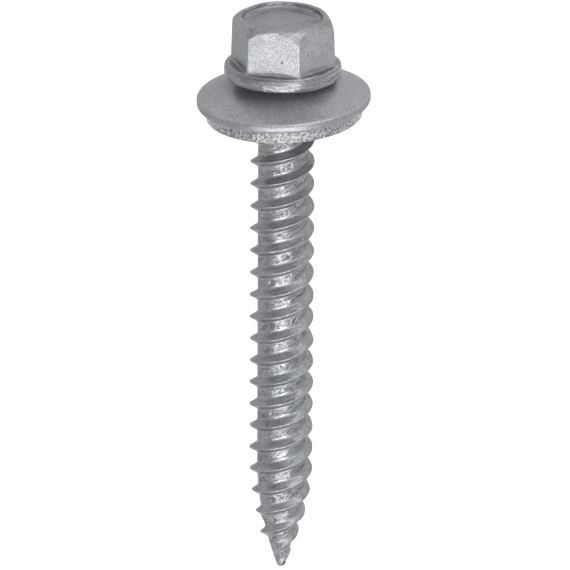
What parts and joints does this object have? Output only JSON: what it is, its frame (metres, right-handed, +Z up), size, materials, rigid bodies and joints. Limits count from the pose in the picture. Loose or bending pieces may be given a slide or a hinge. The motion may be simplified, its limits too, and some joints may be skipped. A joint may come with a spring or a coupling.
{
  "type": "washer head screw with sealing washer",
  "caption": "Hexagon washer head screw with a coarse two-start thread and a sharp point, and a dished steel washer with a seal ring under its head.",
  "frame": {"origin": "on the surface that the screw lies on, below the middle of its outline", "axes": "+Y runs from the point to the head, and +Z is up; the screw's own axis rises by 7.7 degrees towards the head"},
  "size_m": [0.015, 0.0518, 0.0149],
  "materials": {
    "screw_steel": "matt zinc plating, fine grained",
    "washer_steel": "matt zinc plating",
    "seal_rubber": "grey, fine grained"
  },
  "bodies": {
    "root": {"screw": "screw_steel", "sealing_washer": "washer_steel", "seal_ring": "seal_rubber"}
  },
  "joints": []
}
